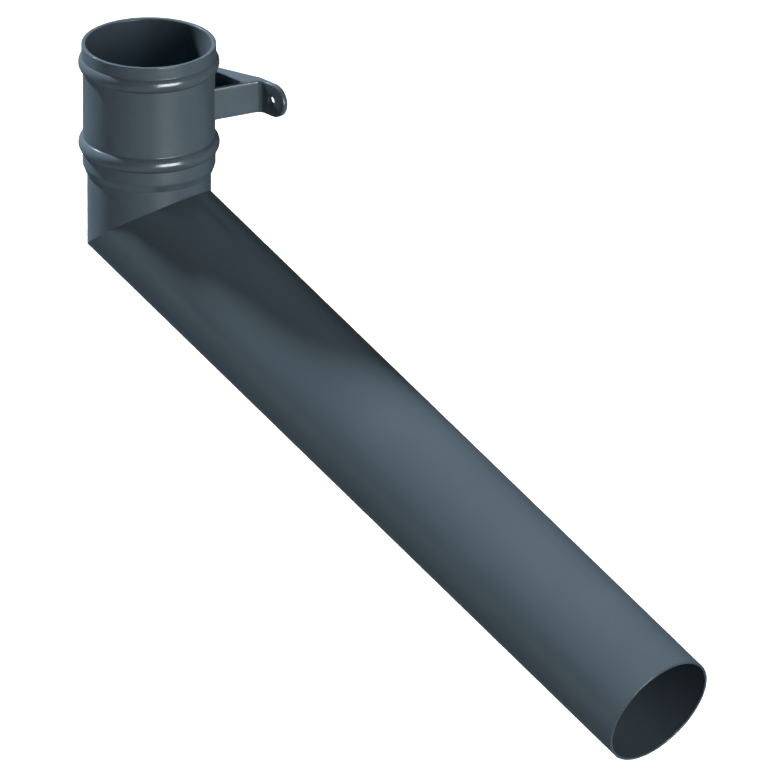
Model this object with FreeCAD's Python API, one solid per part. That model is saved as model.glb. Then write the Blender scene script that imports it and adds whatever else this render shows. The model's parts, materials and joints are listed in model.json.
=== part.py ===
import FreeCAD, Part
import math
import os

# Downpipe elbow: a beaded socket collar with wall ears, a short upright stub and a long offset tube.
# Millimetres and degrees. Z is up, X is the way the tube is offset, Y points at the wall.
# The origin is on the socket's axis, at the level where the pipe from above lands.

# Pipe, the same for the stub and the offset tube
pipe_od = 76.0
pipe_wall = 1.6
cut_chamfer = 0.3

# Bend: how far the tube falls below level, and the lengths on each side of the mitre
tube_fall = 22.5
tube_length = 489.0
stub_below_foot = 32.6

# Collar sleeve: the socket above the landing, and the seat that holds the stub below it
socket_depth = 60.0
socket_clearance = 0.6
seat_depth = 23.2
seat_gap = 0.05
sleeve_wall = 1.97
rim_step = 0.8
mouth_chamfer = 0.4

# Beads round the sleeve, each an arc in section, placed by the drop from the rim to its crest
bead_rise = 2.76
bead_arc_radius = 5.6
upper_bead_drop = 12.2
lower_bead_drop = 65.2

# Lip and tapered foot below the lower bead
lip_step = 0.24
foot_height = 4.9
foot_edge = 1.05

# Wall ears: plates that lie on the wall, each with a round end and a screw hole
wall_distance = 58.0
fixing_centres = 101.6
hole_to_tip = 11.4
ear_drop = 38.7
ear_height = 21.1
ear_thickness = 3.2
ear_hole_d = 5.5

# Side arm from the sleeve to each ear, and the back web that joins the ears behind the sleeve
hole_to_arm = 9.55
arm_angle = 72.0
arm_wall = 2.2
ear_bend_radius = 4.5
web_to_wall = 13.4
web_back_slope = 14.5
web_back_start = 37.5
web_middle_half = 8.0
pocket_corner = 1.5
edge_round = 0.8

# Sizes that follow from those above
pipe_radius = pipe_od / 2
pipe_bore_radius = pipe_radius - pipe_wall
socket_radius = pipe_radius + socket_clearance
seat_radius = pipe_radius + seat_gap
sleeve_radius = socket_radius + sleeve_wall
middle_radius = socket_radius + sleeve_wall / 2
rim_radius = sleeve_radius + rim_step
lip_radius = sleeve_radius + lip_step
crest_radius = sleeve_radius + bead_rise
foot_radius = pipe_radius + foot_edge
rim_z = socket_depth
foot_z = -seat_depth
mitre_point = FreeCAD.Vector(0, 0, foot_z - stub_below_foot)
ear_z = rim_z - ear_drop
hole_x = fixing_centres / 2
tip_x = hole_x + hole_to_tip
ear_end_radius = ear_height / 2
ear_end_x = tip_x - ear_end_radius
ear_front_y = wall_distance - ear_thickness
web_front_y = wall_distance - web_to_wall

# Unit vectors: down the offset tube, square to the mitre plane, and out along the right-hand side arm
fall = math.radians(tube_fall)
tube_axis = FreeCAD.Vector(math.cos(fall), 0, -math.sin(fall))
mitre_normal = (FreeCAD.Vector(0, 0, 1) - tube_axis).normalize()
arm_turn = math.radians(arm_angle)
arm_axis = FreeCAD.Vector(math.cos(arm_turn), math.sin(arm_turn), 0)
arm_inward = FreeCAD.Vector(-math.sin(arm_turn), math.cos(arm_turn), 0)

up = FreeCAD.Vector(0, 0, 1)

# Points nearer than this count as the same point
touch = 1e-4


# A ring-shaped length of pipe from one point along an axis
def pipe_length(start, axis, length):
    outside = Part.makeCylinder(pipe_radius, length, start, axis)
    inside = Part.makeCylinder(pipe_bore_radius, length, start, axis)
    return outside.cut(inside)


# A block that fills one side of the mitre plane, the side its normal points to
def mitre_block(normal):
    reach = 3 * pipe_od
    corner = FreeCAD.Vector(-reach / 2, -reach / 2, 0)
    block = Part.makeBox(reach, reach, reach, corner)
    turn = FreeCAD.Rotation(up, normal)
    block.Placement = FreeCAD.Placement(mitre_point, turn)
    return block


# The stub: square at the top, where the upper pipe lands on it, and mitred below
def make_upper_stub():
    overrun = pipe_od
    start = mitre_point - up * overrun
    pipe = pipe_length(start, up, overrun - mitre_point.z)
    return pipe.cut(mitre_block(-mitre_normal))


# The offset tube: mitred at the bend, and cut square with broken edges at its open end
def make_offset_tube():
    overrun = pipe_od
    start = mitre_point - tube_axis * overrun
    pipe = pipe_length(start, tube_axis, overrun + tube_length)
    end_centre = mitre_point + tube_axis * tube_length
    end_edges = [edge for edge in pipe.Edges if is_circle_at(edge, end_centre)]
    pipe = pipe.makeChamfer(cut_chamfer, end_edges)
    return pipe.cut(mitre_block(mitre_normal))


def is_circle_at(edge, centre):
    return isinstance(edge.Curve, Part.Circle) and edge.Curve.Center.distanceToPoint(centre) < touch


# Half the width of a bead where its arc crosses a given radius
def bead_half_width(radius):
    to_centre = bead_arc_radius - (crest_radius - radius)
    return math.sqrt(bead_arc_radius ** 2 - to_centre ** 2)


# A bead's arc in section, from the radius above it to the radius below it
def bead_arc(crest_z, radius_above, radius_below):
    top = FreeCAD.Vector(radius_above, 0, crest_z + bead_half_width(radius_above))
    crest = FreeCAD.Vector(crest_radius, 0, crest_z)
    bottom = FreeCAD.Vector(radius_below, 0, crest_z - bead_half_width(radius_below))
    return Part.Arc(top, crest, bottom).toShape()


# Straight edges through a list of (radius, height) points
def section_lines(points):
    corners = [FreeCAD.Vector(radius, 0, height) for radius, height in points]
    return [Part.makeLine(a, b) for a, b in zip(corners, corners[1:])]


# The sleeve: one section revolved, and both edges of its mouth broken
def make_sleeve():
    upper_z = rim_z - upper_bead_drop
    lower_z = rim_z - lower_bead_drop
    upper_top = upper_z + bead_half_width(rim_radius)
    upper_bottom = upper_z - bead_half_width(sleeve_radius)
    lower_top = lower_z + bead_half_width(sleeve_radius)
    lower_bottom = lower_z - bead_half_width(lip_radius)
    taper_top = foot_z + foot_height
    edges = section_lines([(socket_radius, rim_z), (rim_radius, rim_z), (rim_radius, upper_top)])
    edges.append(bead_arc(upper_z, rim_radius, sleeve_radius))
    edges += section_lines([(sleeve_radius, upper_bottom), (sleeve_radius, lower_top)])
    edges.append(bead_arc(lower_z, sleeve_radius, lip_radius))
    edges += section_lines([
        (lip_radius, lower_bottom),
        (lip_radius, taper_top),
        (foot_radius, foot_z),
        (seat_radius, foot_z),
        (seat_radius, 0),
        (socket_radius, 0),
        (socket_radius, rim_z),
    ])
    section = Part.Face(Part.Wire(edges))
    sleeve = section.revolve(FreeCAD.Vector(0, 0, 0), up, 360)
    mouth_edges = [edge for edge in sleeve.Edges if is_circle_at(edge, up * rim_z)]
    return sleeve.makeChamfer(mouth_chamfer, mouth_edges)


# Points in plan on the right-hand ear and arm, where the faces meet
arm_corner = FreeCAD.Vector(hole_x - hole_to_arm, ear_front_y, 0)
bend_tangent = ear_bend_radius * math.tan(arm_turn / 2)
bend_on_ear = arm_corner + FreeCAD.Vector(bend_tangent, 0, 0)
bend_on_arm = arm_corner - arm_axis * bend_tangent
bend_centre = bend_on_ear - FreeCAD.Vector(0, ear_bend_radius, 0)


# Where a line in plan, followed back along the arm, comes to the middle of the sleeve's wall
def arm_root(point):
    along = point.dot(arm_axis)
    off_axis = point - arm_axis * along
    return off_axis + arm_axis * math.sqrt(middle_radius ** 2 - off_axis.Length ** 2)


# An upright prism on a plan outline, as tall as the ears
def ear_prism(edges):
    plan = Part.Face(Part.Wire(edges))
    plan.translate(up * (ear_z - ear_end_radius))
    return plan.extrude(up * ear_height)


# The plan of half the bracket: from the middle of the back web round the ear and in along the arm
def half_bracket_plan():
    slope = math.tan(math.radians(web_back_slope))
    web_back_middle = FreeCAD.Vector(0, wall_distance - web_back_start * slope, 0)
    web_back_end = FreeCAD.Vector(web_back_start, wall_distance, 0)
    tip_back = FreeCAD.Vector(tip_x, wall_distance, 0)
    tip_front = FreeCAD.Vector(tip_x, ear_front_y, 0)
    bisector = (arm_corner - bend_centre).normalize()
    bend_middle = bend_centre + bisector * ear_bend_radius
    root = arm_root(arm_corner)
    axis_point = FreeCAD.Vector(0, 0, 0)
    return [
        Part.makeLine(axis_point, web_back_middle),
        Part.makeLine(web_back_middle, web_back_end),
        Part.makeLine(web_back_end, tip_back),
        Part.makeLine(tip_back, tip_front),
        Part.makeLine(tip_front, bend_on_ear),
        Part.Arc(bend_on_ear, bend_middle, bend_on_arm).toShape(),
        Part.makeLine(bend_on_arm, root),
        Part.makeLine(root, axis_point),
    ]


# The pocket between the sleeve, the side arm and the back web, open above and below
def pocket():
    arm_inside = arm_corner + arm_inward * arm_wall
    past = (web_front_y - arm_inside.y) / arm_axis.y
    apex = arm_inside + arm_axis * past
    root = arm_root(arm_inside)
    web_end = FreeCAD.Vector(web_middle_half, web_front_y, 0)
    axis_point = FreeCAD.Vector(web_middle_half, 0, 0)
    corners = [axis_point, web_end, apex, root, axis_point]
    prism = ear_prism([Part.makeLine(a, b) for a, b in zip(corners, corners[1:])])
    uprights = [edge for edge in prism.Edges if is_upright_at(edge, web_end) or is_upright_at(edge, apex)]
    prism = prism.makeFillet(pocket_corner, uprights)
    return prism.cut(Part.makeCylinder(sleeve_radius, 2 * rim_z, FreeCAD.Vector(0, 0, -rim_z)))


def is_upright_at(edge, plan_point):
    middle = edge.valueAt((edge.FirstParameter + edge.LastParameter) / 2)
    level = FreeCAD.Vector(plan_point.x, plan_point.y, middle.z)
    return edge.BoundBox.ZLength > touch and middle.distanceToPoint(level) < touch


# Whether an edge borders the room side of the ear, the bend or the arm, above, below or round the end
def is_front_edge(edge):
    if abs(edge.tangentAt(edge.FirstParameter).z) > 1 - touch and edge.Curve.TypeId == "Part::GeomLine":
        return False
    middle = edge.valueAt((edge.FirstParameter + edge.LastParameter) / 2)
    on_ear = abs(middle.y - ear_front_y) < touch
    flat = FreeCAD.Vector(middle.x, middle.y, 0)
    on_bend = abs(flat.distanceToPoint(bend_centre) - ear_bend_radius) < touch
    on_arm = abs((flat - arm_corner).dot(arm_inward)) < touch
    return on_ear or on_bend or on_arm


# Half the bracket: the plan carried up, its ear rounded, its front edges rounded, pocket and hole cut
def make_half_bracket():
    bracket = ear_prism(half_bracket_plan())
    ear_foot = FreeCAD.Vector(0, 0, ear_z - ear_end_radius)
    envelope = Part.makeBox(ear_end_x, wall_distance, ear_height, ear_foot)
    ear_centre = FreeCAD.Vector(ear_end_x, 0, ear_z)
    toward_wall = FreeCAD.Vector(0, 1, 0)
    envelope = envelope.fuse(Part.makeCylinder(ear_end_radius, wall_distance, ear_centre, toward_wall))
    bracket = bracket.common(envelope).removeSplitter()
    bracket = bracket.makeFillet(edge_round, [edge for edge in bracket.Edges if is_front_edge(edge)])
    bracket = bracket.cut(pocket())
    hole_centre = FreeCAD.Vector(hole_x, 0, ear_z)
    bracket = bracket.cut(Part.makeCylinder(ear_hole_d / 2, wall_distance, hole_centre, toward_wall))
    clear_of_bore = Part.makeCylinder(middle_radius, 2 * rim_z, FreeCAD.Vector(0, 0, -rim_z))
    return bracket.cut(clear_of_bore)


# The collar: sleeve and both halves of the bracket in one casting
def make_eared_collar():
    right = make_half_bracket()
    left = right.mirror(FreeCAD.Vector(0, 0, 0), FreeCAD.Vector(1, 0, 0))
    return make_sleeve().fuse([right, left]).removeSplitter()


parts = {
    "eared_collar": make_eared_collar(),
    "upper_stub": make_upper_stub(),
    "offset_tube": make_offset_tube(),
}

os.makedirs("parts", exist_ok=True)
for name, shape in parts.items():
    solid = shape.Solids[0]
    solid.exportStep("parts/" + name + ".step")
    print(name, len(shape.Solids), "solid", round(solid.Volume), "mm3", "valid", solid.isValid())
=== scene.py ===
import json
import math

import bmesh
import bpy
import numpy as np
from mathutils import Matrix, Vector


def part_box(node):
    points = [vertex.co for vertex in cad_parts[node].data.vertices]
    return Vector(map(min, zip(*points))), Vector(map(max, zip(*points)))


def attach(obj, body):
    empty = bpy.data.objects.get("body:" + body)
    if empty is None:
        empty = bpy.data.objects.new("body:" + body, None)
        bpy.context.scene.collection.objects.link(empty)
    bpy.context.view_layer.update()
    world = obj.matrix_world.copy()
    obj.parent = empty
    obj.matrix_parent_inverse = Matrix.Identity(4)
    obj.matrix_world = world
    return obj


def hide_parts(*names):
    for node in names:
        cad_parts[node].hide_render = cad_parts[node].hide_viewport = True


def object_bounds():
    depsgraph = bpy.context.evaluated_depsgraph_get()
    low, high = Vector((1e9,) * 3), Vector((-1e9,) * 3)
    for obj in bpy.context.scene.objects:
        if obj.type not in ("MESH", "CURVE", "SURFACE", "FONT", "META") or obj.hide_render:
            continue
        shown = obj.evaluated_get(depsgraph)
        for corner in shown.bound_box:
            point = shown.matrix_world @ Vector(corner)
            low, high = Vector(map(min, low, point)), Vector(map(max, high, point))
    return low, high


# Downpipe elbow in powder-coated aluminium: a beaded socket collar with wall ears, a mitred stub and a long
# offset tube. Meshes are in metres in the frame's own axes. Sizes in the dictionaries are in millimetres,
# apart from those of the softboxes, and angles are in degrees.

print("frame: loading the packed elbow")
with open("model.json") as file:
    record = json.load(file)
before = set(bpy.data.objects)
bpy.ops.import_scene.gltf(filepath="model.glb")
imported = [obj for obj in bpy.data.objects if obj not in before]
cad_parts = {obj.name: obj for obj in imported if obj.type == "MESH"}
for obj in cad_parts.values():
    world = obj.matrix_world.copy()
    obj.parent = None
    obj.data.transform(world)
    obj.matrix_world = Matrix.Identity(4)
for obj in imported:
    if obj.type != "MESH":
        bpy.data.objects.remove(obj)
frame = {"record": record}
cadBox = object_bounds()
mm = 0.001
touching = 1e-6  # metres: points nearer than this are one

mounts = {mount["name"]: mount for mount in frame["record"]["mounts"]}
collarLow, collarHigh = (np.array(corner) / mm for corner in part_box("eared_collar"))

# The stub hangs on Z. The tube's line comes from its open end, and the mitre is where that line meets Z.
up = np.array([0.0, 0.0, 1.0])
across = np.array([0.0, 1.0, 0.0])
tubeAxis = np.array(mounts["spigot_end"]["axis"], float)
tubeEnd = np.array(mounts["spigot_end"]["pos_m"]) * [1, 0, 1] / mm
mitrePoint = tubeEnd - tubeAxis * tubeEnd[0] / tubeAxis[0]
mitreNormal = (up - tubeAxis) / np.linalg.norm(up - tubeAxis)


# Quads of a grid whose point (row, column) has the number row * columns + column
def gridFaces(rows, columns, closeRows=False, closeColumns=False):
    row = np.arange(rows if closeRows else rows - 1)[:, None]
    column = np.arange(columns if closeColumns else columns - 1)[None, :]
    nextRow, nextColumn = (row + 1) % rows, (column + 1) % columns
    corners = [row * columns + column, row * columns + nextColumn,
               nextRow * columns + nextColumn, nextRow * columns + column]
    return np.stack(np.broadcast_arrays(*corners), axis=-1).reshape(-1, 4).tolist()


# One piece from several sheets of (points in mm, faces): touching edges are merged and faces turned outwards
def makePiece(name, sheets, node, material, creaseAngle=35):
    points, faces, start = [], [], 0
    for sheetPoints, sheetFaces in sheets:
        points.append(np.asarray(sheetPoints, float).reshape(-1, 3) * mm)
        faces += [[start + corner for corner in face] for face in sheetFaces]
        start += len(points[-1])
    mesh = bpy.data.meshes.new(name)
    mesh.from_pydata(np.concatenate(points).tolist(), [], faces)
    build = bmesh.new()
    build.from_mesh(mesh)
    bmesh.ops.remove_doubles(build, verts=build.verts, dist=touching)
    bmesh.ops.recalc_face_normals(build, faces=build.faces)
    openEdges = sum(not edge.is_manifold for edge in build.edges)
    build.to_mesh(mesh)
    build.free()
    mesh.shade_smooth()
    mesh.set_sharp_from_angle(angle=math.radians(creaseAngle))
    mesh.materials.append(material)
    piece = bpy.data.objects.new(name, mesh)
    bpy.context.scene.collection.objects.link(piece)
    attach(piece, "root")
    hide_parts(node)
    print("piece:", name, len(mesh.polygons), "faces,", openEdges, "open edges")


# Points of an arc about a centre, from one angle to another in radians, as pairs
def arcPoints(centre, radius, fromAngle, toAngle, steps):
    angle = np.linspace(fromAngle, toAngle, steps + 1)
    return np.stack([centre[0] + radius * np.cos(angle), centre[1] + radius * np.sin(angle)], axis=-1)


# A corner rounded: the arc that touches both sides, with its centre on the corner's bisector
def roundedCorner(before, corner, after, radius, steps=5):
    before, corner, after = (np.array(point, float) for point in (before, corner, after))
    sideA = (before - corner) / np.linalg.norm(before - corner)
    sideB = (after - corner) / np.linalg.norm(after - corner)
    half = math.acos(np.clip(sideA @ sideB, -1, 1)) / 2
    bisector = (sideA + sideB) / np.linalg.norm(sideA + sideB)
    tangent = (sideB - sideA) / np.linalg.norm(sideB - sideA)
    spread = np.linspace(half - math.pi / 2, math.pi / 2 - half, steps + 1)[:, None]
    centre = corner + bisector * radius / math.sin(half)
    return centre + radius * (tangent * np.sin(spread) - bisector * np.cos(spread))


# A section with points added halfway along each long straight stretch and close to both its ends, so that the
# shading stays true on it: point = start + (end - start) * share
def propped(section, longest=2.5, close=0.25):
    section = np.asarray(section, float)
    points = []
    for point, following in zip(section, np.roll(section, -1, axis=0)):
        length = np.linalg.norm(following - point)
        points.append(point)
        if length > longest:
            shares = (close / length, 0.5, 1 - close / length)
            points += [point + (following - point) * share for share in shares]
    return np.array(points)


def linearColour(red, green, blue):  # from the 0 to 255 values of a colour picker
    value = np.array([red, green, blue]) / 255
    return (*np.where(value <= 0.04045, value / 12.92, ((value + 0.055) / 1.055) ** 2.4).tolist(), 1.0)


castPaint = {
    "colour": (90, 105, 116),
    "drift": 0.035,          # how far the colour wanders, as a share
    "driftSize": 60.0,
    "roughness": (0.18, 0.22),
    "glossSize": 15.0,       # of the noise that the roughness follows
    "noiseRange": (0.3, 0.7),  # the part of a noise that is spread over both tones and both roughnesses
    "metal": 0.11,           # share of metal flake in the paint
    "flakeEdge": (0, 0, 0),  # flake seen edge-on, dark as it is in the photograph
    "specular": 0.0,
    "peelSize": 1.1,         # the powder coat's orange peel
    "peelDepth": 0.004,
    "waveSize": 9.0,         # the casting's slow unevenness under the paint
    "waveDepth": 0.02,
    "stretch": (1.0, 1.0, 1.0),
}
pipePaint = dict(castPaint, waveSize=14.0, waveDepth=0.012, stretch=(0.12, 1.0, 1.0))


# Powder coat on metal. Colour drifts slowly between two near tones, gloss drifts with a finer noise, and the
# bump is fine orange peel over a slow wave. The pipe's wave is drawn out along the tube, like its die lines.
def paintMaterial(name, paint, alongAxis):
    material = bpy.data.materials.new(name)
    material.use_nodes = True
    nodes, links = material.node_tree.nodes, material.node_tree.links
    shader = nodes["Principled BSDF"]
    coordinates = nodes.new("ShaderNodeTexCoord").outputs["Object"]
    turned = nodes.new("ShaderNodeMapping")
    turned.vector_type = "TEXTURE"
    turned.inputs["Rotation"].default_value = (0, math.atan2(-alongAxis[2], alongAxis[0]), 0)
    turned.inputs["Scale"].default_value = [1 / share for share in paint["stretch"]]
    links.new(coordinates, turned.inputs["Vector"])

    def noise(size, vector, detail=2.0):
        node = nodes.new("ShaderNodeTexNoise")
        node.inputs["Scale"].default_value = 1 / (size * mm)
        node.inputs["Detail"].default_value = detail
        links.new(vector, node.inputs["Vector"])
        return node.outputs["Fac"]

    def bump(height, depth, normal=None):
        node = nodes.new("ShaderNodeBump")
        node.inputs["Distance"].default_value = depth * mm
        links.new(height, node.inputs["Height"])
        if normal:
            links.new(normal, node.inputs["Normal"])
        return node.outputs["Normal"]

    drift = nodes.new("ShaderNodeValToRGB")
    base = np.array(linearColour(*paint["colour"]))
    tones = (1 - paint["drift"], 1 + paint["drift"])
    for element, share, place in zip(drift.color_ramp.elements, tones, paint["noiseRange"]):
        element.color = (*(base[:3] * share).tolist(), 1.0)
        element.position = place
    links.new(noise(paint["driftSize"], coordinates, detail=3.0), drift.inputs["Fac"])
    links.new(drift.outputs["Color"], shader.inputs["Base Color"])

    gloss = nodes.new("ShaderNodeMapRange")
    gloss.inputs["From Min"].default_value, gloss.inputs["From Max"].default_value = paint["noiseRange"]
    gloss.inputs["To Min"].default_value, gloss.inputs["To Max"].default_value = paint["roughness"]
    links.new(noise(paint["glossSize"], coordinates, detail=4.0), gloss.inputs["Value"])
    links.new(gloss.outputs["Result"], shader.inputs["Roughness"])

    wave = bump(noise(paint["waveSize"], turned.outputs["Vector"]), paint["waveDepth"])
    peel = bump(noise(paint["peelSize"], coordinates), paint["peelDepth"], wave)
    links.new(peel, shader.inputs["Normal"])
    shader.inputs["Metallic"].default_value = paint["metal"]
    shader.inputs["Specular Tint"].default_value = linearColour(*paint["flakeEdge"])
    shader.inputs["Specular IOR Level"].default_value = paint["specular"]
    return material


castFinish = paintMaterial("slatePowderCoatOnCasting", castPaint, (1, 0, 0))
pipeFinish = paintMaterial("slatePowderCoatOnPipe", pipePaint, tubeAxis)


sleeve = {
    "around": 256,
    "bodyRadius": 40.57,
    "rimRadius": 41.37,      # the plain band above the upper bead
    "lipRadius": 40.81,      # the band below the lower bead
    "footRadius": 39.05,
    "seatRadius": 38.05,
    "beadArc": 5.6,          # a bead's own radius in section
    "upperBeadDrop": 12.2,
    "lowerBeadDrop": 65.2,
    "footHeight": 4.9,
    "bandBlend": 0.3,        # hollow from a bead into the rim band or the lip band
    "bodyBlend": 0.45,       # hollow from a bead into the sleeve between the beads
    "mouthRound": 0.38,      # outside the rim
    "mouthRoundInside": 0.9,
    "taperRound": 2.0,
    "footRound": 0.25,
    "beadSteps": 20,
    "blendSteps": 6,
}
rimZ, footZ = collarHigh[2], collarLow[2]
crestRadius = -collarLow[1]
socketRadius = mounts["socket"]["dims"]["r_mm"]


# A bead in section from the band above to the band below: hollow, crest arc, hollow. A hollow touches its
# band's upright line and the crest arc, so its centre stands its radius off the band and both radii off the
# bead's centre.
def beadSection(drop, radiusAbove, radiusBelow, blendAbove, blendBelow):
    centre = np.array([crestRadius - sleeve["beadArc"], rimZ - drop])
    outAbove, outBelow = radiusAbove + blendAbove - centre[0], radiusBelow + blendBelow - centre[0]
    rise = math.sqrt((sleeve["beadArc"] + blendAbove) ** 2 - outAbove ** 2)
    fall = math.sqrt((sleeve["beadArc"] + blendBelow) ** 2 - outBelow ** 2)
    leanAbove, leanBelow = math.atan2(rise, outAbove), math.atan2(fall, outBelow)
    return np.concatenate([
        arcPoints(centre + [outAbove, rise], blendAbove, math.pi, math.pi + leanAbove, sleeve["blendSteps"]),
        arcPoints(centre, sleeve["beadArc"], leanAbove, -leanBelow, sleeve["beadSteps"])[1:-1],
        arcPoints(centre + [outBelow, -fall], blendBelow, math.pi - leanBelow, math.pi, sleeve["blendSteps"]),
    ])


# The sleeve: its wall's closed section carried round Z, point = (radius cos angle, radius sin angle, height)
def sleeveSheet():
    s = sleeve
    taperTop = footZ + s["footHeight"]
    lip, taper, foot = (s["lipRadius"], 0), (s["lipRadius"], taperTop), (s["footRadius"], footZ)
    section = np.concatenate([
        roundedCorner((socketRadius, 0), (socketRadius, rimZ), (s["rimRadius"], rimZ), s["mouthRoundInside"]),
        roundedCorner((socketRadius, rimZ), (s["rimRadius"], rimZ), (s["rimRadius"], 0), s["mouthRound"]),
        beadSection(s["upperBeadDrop"], s["rimRadius"], s["bodyRadius"], s["bandBlend"], s["bodyBlend"]),
        beadSection(s["lowerBeadDrop"], s["bodyRadius"], s["lipRadius"], s["bodyBlend"], s["bandBlend"]),
        roundedCorner(lip, taper, foot, s["taperRound"]),
        roundedCorner(taper, foot, (s["seatRadius"], footZ), s["footRound"]),
        [(s["seatRadius"], footZ), (s["seatRadius"], 0), (socketRadius, 0)],
    ])
    section = propped(section)
    angle = np.linspace(0, 2 * math.pi, s["around"], endpoint=False)[None, :]
    radius, height = section[:, :1], section[:, 1:]
    points = np.stack([radius * np.cos(angle), radius * np.sin(angle), height + 0 * angle], axis=-1)
    return points, gridFaces(len(section), s["around"], closeRows=True, closeColumns=True)


print("collar: sleeve with two beads")
makePiece("collarSleeve", [sleeveSheet()], "eared_collar", castFinish)


bracket = {
    "holeToArm": 9.55,       # from the screw hole to the corner where ear and arm would meet
    "holeRound": 0.3,
    "armAngle": 72.0,
    "armWall": 2.2,
    "earThickness": 3.2,
    "earHeight": 21.1,
    "bendRadius": 4.5,
    "webToWall": 13.4,
    "webBackSlope": 14.5,
    "webBackStart": 37.5,
    "middleHalf": 8.0,       # the block behind the sleeve that the web stands on
    "rootRadius": 39.6,      # where arms and block end, inside the sleeve's wall
    "pocketCorner": 1.5,
    "edgeRound": 1.0,
    "earJoint": 45.5,        # where the flat of the ear takes over from the bend
    "pastBend": 0.3,         # a row this far along the arm keeps the arm's shading flat
    "levels": 12,            # rows from edge to edge, up the bracket
    "edgeSteps": 5,
    "bendSteps": 14,
    "earEndSteps": 40,
}
wallY, tipX = collarHigh[1], collarHigh[0]
holeX = mounts["ear_holes"]["dims"]["spacing_x_mm"] / 2
holeRadius = mounts["ear_holes"]["dims"]["hole_r_mm"]
earZ = mounts["ear_holes"]["pos_m"][2] / mm
earFrontY, webFrontY = wallY - bracket["earThickness"], wallY - bracket["webToWall"]
earHalf = bracket["earHeight"] / 2
earEndX = tipX - earHalf

# The front edge's quarter circle, from the front face to the side: depth behind the face, and distance in
# from the side
quarter = np.linspace(0, math.pi / 2, bracket["edgeSteps"] + 1)
edgeDepth = bracket["edgeRound"] * (1 - np.cos(quarter))
edgeInset = bracket["edgeRound"] * (1 - np.sin(quarter))
levels = np.linspace(bracket["edgeRound"] - earHalf, earHalf - bracket["edgeRound"], bracket["levels"])[1:-1]


# Where a line in plan, followed along the arm, comes to the root circle inside the sleeve's wall
def armRoot(point, armAxis):
    offAxis = point - armAxis * (point @ armAxis)
    return offAxis + armAxis * math.sqrt(bracket["rootRadius"] ** 2 - offAxis @ offAxis)


# The bracket between the ears: a plan outline carried up, point = (outline + depth(height) * way into the
# metal, height). The depth follows the quarter circle on ear, bend and arm, and is nothing on the pockets and
# the web's back.
def bracketMiddleSheets():
    b = bracket
    turn = math.radians(b["armAngle"])
    armAxis = np.array([math.cos(turn), math.sin(turn)])
    inward = np.array([-math.sin(turn), math.cos(turn)])
    corner = np.array([holeX - b["holeToArm"], earFrontY])
    bendCentre = corner + [b["bendRadius"] * math.tan(turn / 2), -b["bendRadius"]]
    bend = arcPoints(bendCentre, b["bendRadius"], math.pi / 2, math.pi / 2 + turn, b["bendSteps"])
    justPast = bend[-1] - armAxis * b["pastBend"]
    front = np.concatenate([[(b["earJoint"], earFrontY)], bend, [justPast, armRoot(corner, armAxis)]])
    frontInto = np.concatenate([[(0, 1)], (bend - bendCentre) / b["bendRadius"], [inward, inward]])

    inside = corner + inward * b["armWall"]
    apex = inside + armAxis * (webFrontY - inside[1]) / armAxis[1]
    webEnd = np.array([b["middleHalf"], webFrontY])
    blockRoot = np.array([b["middleHalf"], math.sqrt(b["rootRadius"] ** 2 - b["middleHalf"] ** 2)])
    pocket = np.concatenate([
        [armRoot(inside, armAxis)],
        roundedCorner(armRoot(inside, armAxis), apex, webEnd, b["pocketCorner"]),
        roundedCorner(apex, webEnd, blockRoot, b["pocketCorner"]),
        [blockRoot],
    ])

    half, halfInto = np.concatenate([front, pocket]), np.concatenate([frontInto, 0 * pocket])
    room, roomInto = (np.concatenate([side, side[::-1] * [-1, 1]]) for side in (half, halfInto))
    webMiddleY = wallY - b["webBackStart"] * math.tan(math.radians(b["webBackSlope"]))
    back = np.array([(-b["earJoint"], wallY), (-b["webBackStart"], wallY), (0, webMiddleY),
                     (b["webBackStart"], wallY), (b["earJoint"], wallY)])

    def carried(outline, into, height, depth):
        height, depth = height[:, None, None], depth[:, None, None]
        plan = outline + into * depth
        points = np.concatenate([plan, height + earZ + 0 * plan[..., :1]], axis=-1)
        return points, gridFaces(len(height), len(outline))

    roomHeight = np.concatenate([edgeInset[::-1] - earHalf, levels, earHalf - edgeInset])
    roomDepth = np.concatenate([edgeDepth[::-1], 0 * levels, edgeDepth])
    roomSheet = carried(room, roomInto, roomHeight, roomDepth)
    backHeight = np.concatenate([[-earHalf], levels, [earHalf]])
    backSheet = carried(back, 0 * back, backHeight, 0 * backHeight)
    caps = [np.concatenate([roomSheet[0][end], backSheet[0][end]]) for end in (0, -1)]
    return [roomSheet, backSheet] + [(cap, [list(range(len(cap)))]) for cap in caps]


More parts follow.
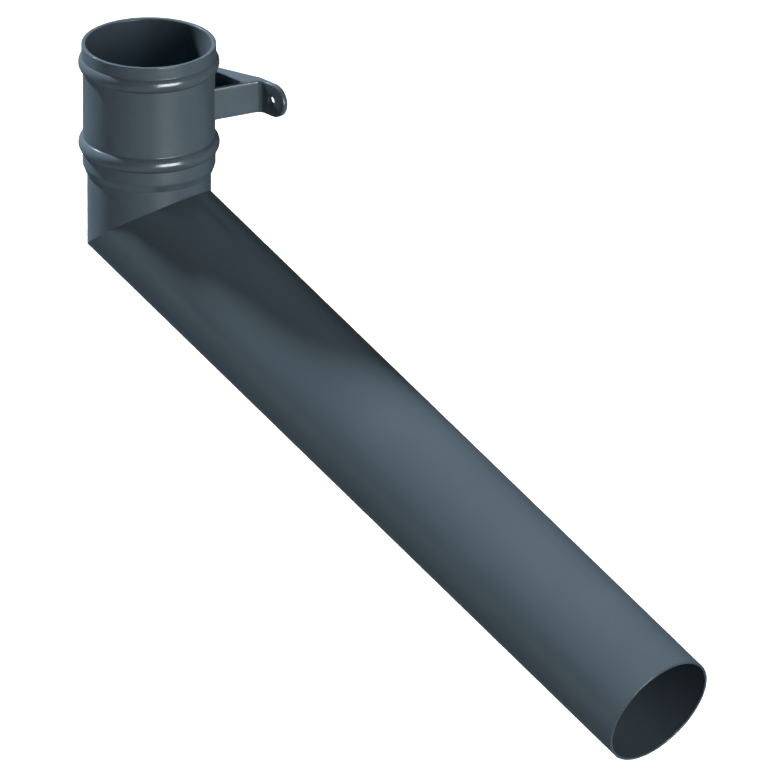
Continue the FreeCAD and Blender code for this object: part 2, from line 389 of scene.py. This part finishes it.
# An ear: a U-shaped outline carried back over the quarter circle to the wall, point = (outline -
# inset(depth) * way out, depth). Each flat face is a ring from the outline, closed along the joint with the
# bend, to the hole's circle at the same bearings from the hole, and the hole's wall is that circle carried
# through.
def earSheets(side):
    b = bracket
    turn = np.linspace(math.pi / 2, -math.pi / 2, b["earEndSteps"] + 1)
    aroundEnd = np.stack([np.cos(turn), np.sin(turn)], axis=-1)
    joint = b["earJoint"]
    outline = np.concatenate([[(joint, earHalf)], [earEndX, 0] + earHalf * aroundEnd, [(joint, -earHalf)]])
    wayOut = np.concatenate([[(0, 1)], aroundEnd, [(0, -1)]])
    jointLine = np.stack([0 * levels + joint, levels], axis=-1)

    # Takes pairs of (x, height above the hole), and how far behind the front face they lie
    def stoodUp(plan, depth):
        x, z = side * plan[..., 0], plan[..., 1] + earZ
        return np.stack([x, earFrontY + depth + 0 * x, z], axis=-1)

    inset = np.append(edgeInset, 0)[:, None, None]
    depth = np.append(edgeDepth, b["earThickness"])[:, None]
    edge = stoodUp(outline - wayOut * inset, depth)
    frontLoop = np.concatenate([edge[0], stoodUp(jointLine, 0)])
    backLoop = np.concatenate([edge[-1], stoodUp(jointLine, b["earThickness"])])

    loop = np.concatenate([outline, jointLine]) - [holeX, 0]
    bearing = loop / np.linalg.norm(loop, axis=-1, keepdims=True)
    flare = np.append(b["holeRound"] * (1 - np.sin(quarter)), 0)[:, None, None]
    holeDepth = np.append(b["holeRound"] * (1 - np.cos(quarter)), b["earThickness"])[:, None]
    hole = stoodUp([holeX, 0] + bearing * (holeRadius + flare), holeDepth)
    ring = gridFaces(2, len(loop), closeColumns=True)
    return [
        (edge, gridFaces(len(edge), len(outline))),
        (np.stack([frontLoop, hole[0]]), ring),
        (np.stack([backLoop, hole[-1]]), ring),
        (hole, gridFaces(len(hole), len(loop), closeColumns=True)),
    ]


print("collar: bracket with two wall ears")
bracketSheets = bracketMiddleSheets() + earSheets(1) + earSheets(-1)
makePiece("earBracket", bracketSheets, "eared_collar", castFinish)


pipe = {
    "around": 256,
    "radius": 38.0,
    "wall": 1.6,
    "endRound": 0.28,
    "behindEnd": (0.25, 0.5),  # rows this far behind the end's rounds keep the wall's shading straight
}


# A mitred pipe: the wall's section, from the mitre out to the square end and back inside, carried round the
# axis. A row's point = end centre + axis * run + radius * spoke, where run is read off the end, or reaches
# the mitre plane.
def mitredPipeSheet(endCentre, axis):
    outer, inner, far = pipe["radius"], pipe["radius"] - pipe["wall"], pipe["radius"]
    end = np.concatenate([
        roundedCorner((outer, far), (outer, 0), (inner, 0), pipe["endRound"]),
        roundedCorner((outer, 0), (inner, 0), (inner, far), pipe["endRound"]),
    ])
    end = np.concatenate([[(outer, end[0, 1] + run) for run in pipe["behindEnd"][::-1]], end,
                          [(inner, end[-1, 1] + run) for run in pipe["behindEnd"]]])
    radius = np.concatenate([[outer], end[:, 0], [inner]])[:, None]
    angle = np.linspace(0, 2 * math.pi, pipe["around"], endpoint=False)[:, None]
    spoke = np.cos(angle) * np.cross(across, axis) + np.sin(angle) * across
    toMitre = ((mitrePoint - endCentre) @ mitreNormal - radius * (spoke @ mitreNormal)) / (axis @ mitreNormal)
    run = np.concatenate([toMitre[:1], np.tile(end[:, 1:], (1, pipe["around"])), toMitre[-1:]])
    points = endCentre + axis * run[..., None] + spoke * radius[..., None]
    return points, gridFaces(len(radius), pipe["around"], closeRows=True, closeColumns=True)


print("pipes: stub and offset tube, mitred together")
makePiece("stubPipe", [mitredPipeSheet(0 * up, -up)], "upper_stub", pipeFinish)
makePiece("slantedTube", [mitredPipeSheet(tubeEnd, -tubeAxis)], "offset_tube", pipeFinish)


floor = {
    "below": 1200.0,         # how far under the elbow's lowest point
    "size": 12000.0,
    "colour": (232, 232, 230),
    "bounce": (84, 84, 84),  # how dark it is to the light that it throws back up
    "shown": 0.45,           # how much white the floor adds where the camera looks at it
    "roughness": 0.9,
    "specular": 0.1,
    "pointsASide": 9,
}


# White wherever the camera, a gloss or a glass looks, and a faint daylight for everything else
def whiteForLookers(nodes, links):
    path = nodes.new("ShaderNodeLightPath")
    total = None
    for ray in ("Is Camera Ray", "Is Glossy Ray", "Is Transmission Ray"):
        if total is None:
            total = path.outputs[ray]
            continue
        add = nodes.new("ShaderNodeMath")
        add.operation, add.use_clamp = "ADD", True
        links.new(total, add.inputs[0])
        links.new(path.outputs[ray], add.inputs[1])
        total = add.outputs[0]
    return total


def makeFloor():
    half = floor["size"] / 2
    height = min(collarLow[2], cadBox[0][2] / mm) - floor["below"]
    grid = np.linspace(-half, half, floor["pointsASide"])
    x, y = np.meshgrid(grid, grid)
    mesh = bpy.data.meshes.new("studioFloor")
    points = np.stack([x, y, height + 0 * x], axis=-1).reshape(-1, 3) * mm
    mesh.from_pydata(points.tolist(), [], gridFaces(floor["pointsASide"], floor["pointsASide"]))
    piece = bpy.data.objects.new("studioFloor", mesh)
    bpy.context.scene.collection.objects.link(piece)
    material = bpy.data.materials.new("paleFloor")
    material.use_nodes = True
    nodes, links = material.node_tree.nodes, material.node_tree.links
    shader = nodes["Principled BSDF"]
    shader.inputs["Roughness"].default_value = floor["roughness"]
    shader.inputs["Specular IOR Level"].default_value = floor["specular"]
    looked = whiteForLookers(nodes, links)
    pale = nodes.new("ShaderNodeMix")
    pale.data_type = "RGBA"
    links.new(looked, pale.inputs["Factor"])
    pale.inputs["A"].default_value = linearColour(*floor["bounce"])
    pale.inputs["B"].default_value = linearColour(*floor["colour"])
    links.new(pale.outputs["Result"], shader.inputs["Base Color"])
    glow = nodes.new("ShaderNodeMath")
    glow.operation = "MULTIPLY"
    glow.inputs[1].default_value = floor["shown"]
    links.new(looked, glow.inputs[0])
    shader.inputs["Emission Color"].default_value = (1, 1, 1, 1)
    links.new(glow.outputs[0], shader.inputs["Emission Strength"])
    mesh.materials.append(material)
    piece.visible_shadow = False  # it takes the elbow's shadow, and lets the light from below through


studio = {
    "daylight": (200, 210, 225),
    "daylightStrength": 0.01,
    "key": {"bearing": 276.0, "height": 43.0, "strength": 6.6, "softness": 7.0, "colour": (255, 255, 255)},
    "fill": {"bearing": 91.0, "height": 5.0, "strength": 1.76, "softness": 50.0, "colour": (255, 252, 248)},
    # the key's light thrown back from below and behind, which the dark-bouncing floor holds back
    "under": {"bearing": 278.0, "height": -45.0, "strength": 1.9, "softness": 30.0, "colour": (255, 250, 246)},
    # softboxes, in metres, that light nothing and are only seen in the gloss: the streak on each bead, and
    # the sleeve's faint one
    "streak": {"bearing": 79.0, "height": 2.0, "strength": 20.0, "distance": 8.0, "width": 4.8, "tall": 4.1,
               "colour": (255, 228, 206)},
    "lowStreak": {"bearing": 78.0, "height": -24.0, "strength": 0.05, "distance": 3.0, "width": 2.4,
                  "tall": 0.6, "colour": (245, 245, 245)},
}


def makeWorld():
    world = bpy.data.worlds.new("studio")
    bpy.context.scene.world = world
    world.use_nodes = True
    nodes, links = world.node_tree.nodes, world.node_tree.links
    nodes.clear()
    daylight, white = nodes.new("ShaderNodeBackground"), nodes.new("ShaderNodeBackground")
    daylight.inputs["Color"].default_value = linearColour(*studio["daylight"])
    daylight.inputs["Strength"].default_value = studio["daylightStrength"]
    white.inputs["Color"].default_value = (1, 1, 1, 1)
    white.inputs["Strength"].default_value = 1.0
    mix, output = nodes.new("ShaderNodeMixShader"), nodes.new("ShaderNodeOutputWorld")
    links.new(whiteForLookers(nodes, links), mix.inputs[0])
    links.new(daylight.outputs[0], mix.inputs[1])
    links.new(white.outputs[0], mix.inputs[2])
    links.new(mix.outputs[0], output.inputs["Surface"])


# How a lamp is turned, and the way to it: bearing 0 is from -Y and turns towards +X, and height is above the
# horizon
def lampAxes(lamp):
    turn, rise = math.radians(lamp["bearing"]), math.radians(lamp["height"])
    source = np.array([math.sin(turn) * math.cos(rise), -math.cos(turn) * math.cos(rise), math.sin(rise)])
    side = np.array([math.cos(turn), math.sin(turn), 0.0])
    return Matrix(np.stack([side, np.cross(source, side), source], axis=-1).tolist()).to_4x4(), source


def placeLamp(light, lamp, place, lights, shines):
    light.color = linearColour(*lamp["colour"])[:3]
    lampObject = bpy.data.objects.new(light.name, light)
    lampObject.matrix_world = Matrix.Translation(place.tolist()) @ lampAxes(lamp)[0]
    lampObject.visible_camera, lampObject.visible_diffuse, lampObject.visible_glossy = False, lights, shines
    bpy.context.scene.collection.objects.link(lampObject)


def makeSun(name, lamp, shines=False):
    light = bpy.data.lights.new(name, "SUN")
    light.energy, light.angle = lamp["strength"], math.radians(lamp["softness"])
    placeLamp(light, lamp, 0 * up, True, shines)


# A flat softbox, whose power gives the wanted strength at its distance: strength * pi * distance squared
def makeSoftbox(name, lamp):
    light = bpy.data.lights.new(name, "AREA")
    light.shape, light.size, light.size_y = "RECTANGLE", lamp["width"], lamp["tall"]
    light.energy = lamp["strength"] * math.pi * lamp["distance"] ** 2
    placeLamp(light, lamp, lampAxes(lamp)[1] * lamp["distance"], False, True)


print("studio: floor, daylight and lamps")
makeFloor()
makeWorld()
makeSun("keyLight", studio["key"], shines=True)
makeSun("fillLight", studio["fill"])
makeSun("underLight", studio["under"])
makeSoftbox("streakBox", studio["streak"])
makeSoftbox("lowStreakBox", studio["lowStreak"])


camera = {
    "bearing": 46.57,
    "height": 23.03,
    "lens": 1700.0,          # very long, so the tube's sides stay parallel as in the photograph
    "distance": 22203.0,
    "aimRight": 143.86,
    "aimUp": -153.53,
    "sensor": 36.0,
    "clip": (1000.0, 100000.0),
}


def makeCamera():
    turn, rise = math.radians(camera["bearing"]), math.radians(camera["height"])
    right = np.array([math.cos(turn), math.sin(turn), 0.0])
    toward = np.array([math.sin(turn) * math.cos(rise), -math.cos(turn) * math.cos(rise), math.sin(rise)])
    imageUp = np.cross(toward, right)
    eye = (right * camera["aimRight"] + imageUp * camera["aimUp"] + toward * camera["distance"]) * mm
    view = bpy.data.cameras.new("photoView")
    view.lens, view.sensor_width = camera["lens"], camera["sensor"]
    view.clip_start, view.clip_end = (reach * mm for reach in camera["clip"])
    viewer = bpy.data.objects.new("photoView", view)
    turned = Matrix(np.stack([right, imageUp, toward], axis=-1).tolist()).to_4x4()
    viewer.matrix_world = Matrix.Translation(eye.tolist()) @ turned
    bpy.context.scene.collection.objects.link(viewer)
    bpy.context.scene.camera = viewer


makeCamera()
bpy.context.scene.view_settings.view_transform = "Standard"

print("done: dressed elbow is ready")
